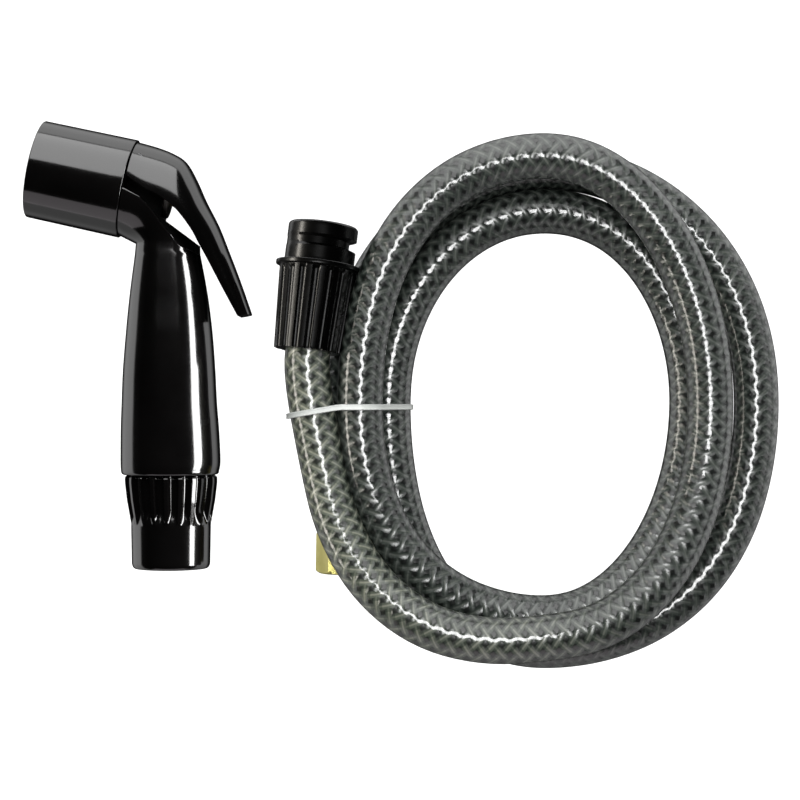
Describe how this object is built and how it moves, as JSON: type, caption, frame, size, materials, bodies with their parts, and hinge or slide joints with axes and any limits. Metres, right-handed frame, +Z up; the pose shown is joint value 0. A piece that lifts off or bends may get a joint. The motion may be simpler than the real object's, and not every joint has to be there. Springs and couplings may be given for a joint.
{
  "type": "hand-held bath sprayer with a coiled hose",
  "caption": "Black hand-held bath sprayer with a thumb lever, lying beside its coiled clear braided hose with a fluted coupling at one end and a brass nut at the other.",
  "frame": {"origin": "on the surface that the kit lies on, under the middle of the handset's bounding box", "axes": "+Y along the grip from its collar towards the head, +X from the handset to the coiled hose, +Z up from the surface"},
  "size_m": [0.2131, 0.1546, 0.0373],
  "materials": {
    "body_plastic": "gloss moulded black plastic",
    "cap_plastic": "gloss moulded black plastic",
    "lever_plastic": "gloss moulded black plastic",
    "collar_plastic": "gloss moulded black plastic, fluted",
    "coupling_plastic": "satin moulded black plastic, fluted",
    "face_plastic": "satin black plastic",
    "inner_plastic": "natural moulded acetal",
    "seal_rubber": "matt black rubber",
    "spring_steel": "drawn stainless wire",
    "pin_steel": "ground stainless pin",
    "screen_steel": "perforated stainless sheet",
    "stem_brass": "turned brass",
    "tail_brass": "turned brass",
    "fitting_brass": "turned brass, slightly yellow-green",
    "hose_vinyl": "clear vinyl with a braided reinforcement, grey-green",
    "tie_nylon": "white nylon"
  },
  "bodies": {
    "handset": {"handle_body": "body_plastic", "spray_cap": "cap_plastic", "spray_face": "face_plastic", "face_seal": "seal_rubber", "cap_seal": "seal_rubber", "spring_guide": "inner_plastic", "valve_spring": "spring_steel", "stem_seal": "seal_rubber", "gland_bush": "inner_plastic", "hose_collar": "collar_plastic", "inlet_washer": "seal_rubber", "inlet_screen": "screen_steel", "coupling_washer": "seal_rubber", "hose_tail": "tail_brass", "snap_ring": "spring_steel", "hose_coil": "hose_vinyl", "cable_tie": "tie_nylon", "end_ferrule": "fitting_brass", "end_tail": "tail_brass", "end_washer": "seal_rubber"},
    "trigger": {"trigger_lever": "lever_plastic", "lever_pin": "pin_steel"},
    "stem": {"valve_stem": "stem_brass", "valve_disc": "seal_rubber", "valve_clip": "spring_steel"},
    "coupling": {"coupling_sleeve": "coupling_plastic"},
    "nut": {"end_nut": "fitting_brass"}
  },
  "joints": [
    {"name": "trigger_press", "type": "hinge", "parent": "handset", "child": "trigger", "pos_m": [0.0015, 0.05189, 0.0141], "axis": [0, 0, -1], "range_deg": [0, 4], "stiffness_Nm_per_rad": 0.5, "springref_deg": -5.73},
    {"name": "stem_slide", "type": "slide", "parent": "handset", "child": "stem", "axis": [-0.9774, 0.2113, 0], "range_m": [0, 0.0008], "deforming": ["valve_spring"]},
    {"name": "coupling_spin", "type": "hinge", "parent": "handset", "child": "coupling", "pos_m": [0.04932, 0.0081, 0.01936], "axis": [0.1216, 0.9901, -0.0698], "continuous": true},
    {"name": "nut_spin", "type": "hinge", "parent": "handset", "child": "nut", "pos_m": [0.05751, -0.0589, 0.0072], "axis": [-0.0175, -0.9998, 0], "continuous": true}
  ],
  "couplings": [
    {"joint": "stem_slide", "follows": "trigger_press", "m_per_rad": 0.0099}
  ]
}
